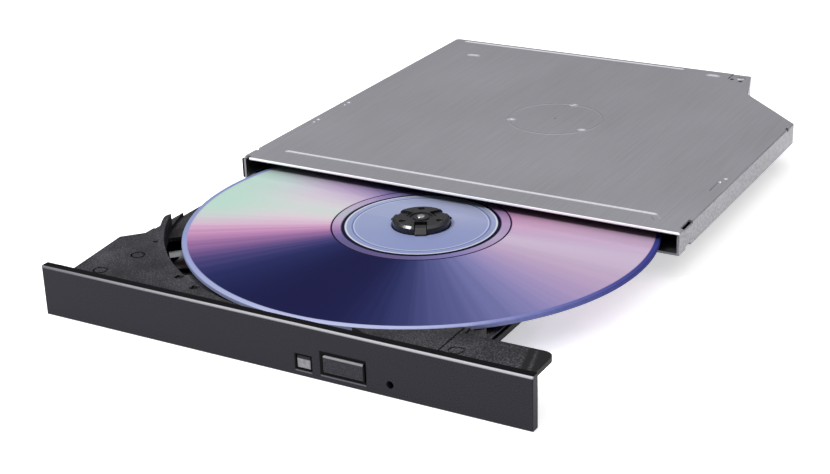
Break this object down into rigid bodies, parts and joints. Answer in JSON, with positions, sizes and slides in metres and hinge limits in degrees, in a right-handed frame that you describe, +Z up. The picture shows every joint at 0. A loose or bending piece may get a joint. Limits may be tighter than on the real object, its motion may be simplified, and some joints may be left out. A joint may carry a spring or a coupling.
{
  "type": "slim internal optical drive",
  "caption": "Slim internal disc drive, tray part out with a disc on its spindle: sliding tray, telescoping rails, eject button, pickup sled, latch lever.",
  "frame": {"origin": "on the underside, in the middle of the case's front edge", "axes": "+Z up, +Y from the front panel to the rear connector, +X to the right seen from the front"},
  "size_m": [0.129, 0.2094, 0.0127],
  "materials": {
    "galvanised_cover": "satin, finely brushed",
    "galvanised_chassis": "satin",
    "screw_steel": "bright zinc",
    "guide_plastic": "natural acetal",
    "board_green": "solder mask",
    "chip_black": "moulded",
    "capacitor_silver": "sleeve",
    "connector_black": "moulded",
    "socket_ivory": "moulded",
    "flex_film": "film",
    "spring_steel": "drawn wire",
    "rail_steel": "bright rolled",
    "tray_plastic": "fine grain",
    "panel_plastic": "fine grain, satin",
    "window_plastic": "translucent",
    "black_screw": "black oxide",
    "led_clear": "clear",
    "dust_plate": "satin",
    "carrier_steel": "rolled",
    "grommet_rubber": "soft",
    "motor_steel": "plated",
    "winding_copper": "enamelled wire",
    "shaft_steel": "ground",
    "lever_plastic": "acetal",
    "amber_film": "film",
    "magnet_coil": "enamelled wire",
    "magnet_black": "bonded ferrite",
    "hub_black": "satin",
    "friction_rubber": "matte",
    "disc_coated": "reflective, iridescent",
    "sled_alloy": "die cast",
    "nut_plastic": "acetal",
    "lens_plastic": "moulded",
    "lens_glass": "coated",
    "button_plastic": "satin"
  },
  "bodies": {
    "case": {"top_cover": "galvanised_cover", "bottom_chassis": "galvanised_chassis", "cover_screws": "screw_steel", "left_guide": "guide_plastic", "right_guide": "guide_plastic", "main_board": "board_green", "board_screws": "screw_steel", "board_chips": "chip_black", "board_capacitors": "capacitor_silver", "sata_connector": "connector_black", "flex_socket": "socket_ivory", "flat_flex_cable": "flex_film", "latch_post": "screw_steel", "ejector_pin": "guide_plastic", "ejector_spring": "spring_steel"},
    "left_rail": {"left_slide_rail": "rail_steel"},
    "right_rail": {"right_slide_rail": "rail_steel"},
    "tray": {"tray_frame": "tray_plastic", "front_panel": "panel_plastic", "led_window": "window_plastic", "under_shield": "galvanised_chassis", "tray_screws": "black_screw", "tray_board": "board_green", "tact_switch": "chip_black", "indicator_led": "led_clear", "well_cover": "dust_plate", "traverse_chassis": "carrier_steel", "damper_grommets": "grommet_rubber", "damper_screws": "black_screw", "motor_base": "motor_steel", "stator": "winding_copper", "guide_rods": "shaft_steel", "rod_clamps": "lever_plastic", "screw_bearing": "carrier_steel", "sled_motor": "motor_steel", "pickup_flex": "amber_film", "latch_magnet": "magnet_coil", "latch_spring": "spring_steel", "latch_clip": "screw_steel"},
    "spindle": {"motor_rotor": "motor_steel", "rotor_magnet": "magnet_black", "spindle_shaft": "shaft_steel", "turntable_hub": "hub_black", "turntable_ring": "friction_rubber", "disc": "disc_coated"},
    "claw_1": {"hub_claw_1": "hub_black"},
    "claw_2": {"hub_claw_2": "hub_black"},
    "claw_3": {"hub_claw_3": "hub_black"},
    "lead_screw": {"lead_screw": "shaft_steel"},
    "sled": {"pickup_sled": "sled_alloy", "sled_nut": "nut_plastic"},
    "lens": {"lens_holder": "lens_plastic", "objective_lens": "lens_glass"},
    "button": {"eject_button": "button_plastic", "switch_plunger": "nut_plastic"},
    "lever": {"latch_lever": "lever_plastic"}
  },
  "joints": [
    {"name": "tray_slide", "type": "slide", "parent": "case", "child": "tray", "axis": [0, -1, 0], "range_m": [-0.0798, 0.047], "deforming": ["ejector_spring", "flat_flex_cable"]},
    {"name": "left_rail_slide", "type": "slide", "parent": "case", "child": "left_rail", "axis": [0, -1, 0], "range_m": [-0.0399, 0.0235]},
    {"name": "right_rail_slide", "type": "slide", "parent": "case", "child": "right_rail", "axis": [0, -1, 0], "range_m": [-0.0399, 0.0235]},
    {"name": "eject_press", "type": "slide", "parent": "tray", "child": "button", "axis": [0, 1, 0], "range_m": [0, 0.0006], "stiffness_N_per_m": 800, "springref_m": -0.0006},
    {"name": "spindle_spin", "type": "hinge", "parent": "tray", "child": "spindle", "pos_m": [0.001, -0.015, 0.0085], "axis": [0, 0, 1], "continuous": true},
    {"name": "claw_1_retract", "type": "slide", "parent": "spindle", "child": "claw_1", "axis": [-0.4695, 0.8829, 0], "range_m": [0, 0.0008], "stiffness_N_per_m": 600, "springref_m": -0.0005},
    {"name": "claw_2_retract", "type": "slide", "parent": "spindle", "child": "claw_2", "axis": [-0.5299, -0.848, 0], "range_m": [0, 0.0008], "stiffness_N_per_m": 600, "springref_m": -0.0005},
    {"name": "claw_3_retract", "type": "slide", "parent": "spindle", "child": "claw_3", "axis": [0.9994, -0.0349, 0], "range_m": [0, 0.0008], "stiffness_N_per_m": 600, "springref_m": -0.0005},
    {"name": "sled_slide", "type": "slide", "parent": "tray", "child": "sled", "axis": [-0.7071, -0.7071, 0], "range_m": [-0.0025, 0.032], "deforming": ["pickup_flex"]},
    {"name": "lead_screw_spin", "type": "hinge", "parent": "tray", "child": "lead_screw", "pos_m": [-0.02693, -0.0295, 0.0046], "axis": [-0.7071, -0.7071, 0], "range_deg": [-305, 3845]},
    {"name": "lens_focus", "type": "slide", "parent": "sled", "child": "lens", "axis": [0, 0, 1], "range_m": [-0.0004, 0.0004], "stiffness_N_per_m": 60},
    {"name": "latch_turn", "type": "hinge", "parent": "tray", "child": "lever", "pos_m": [0.026, -0.0521, 0.0039], "axis": [0, 0, 1], "range_deg": [0, 16], "stiffness_Nm_per_rad": 0.004, "springref_deg": -17.19}
  ],
  "couplings": [
    {"joint": "left_rail_slide", "follows": "tray_slide", "ratio": 0.5},
    {"joint": "right_rail_slide", "follows": "tray_slide", "ratio": 0.5},
    {"joint": "lead_screw_spin", "follows": "sled_slide", "rad_per_m": 2094.4}
  ]
}
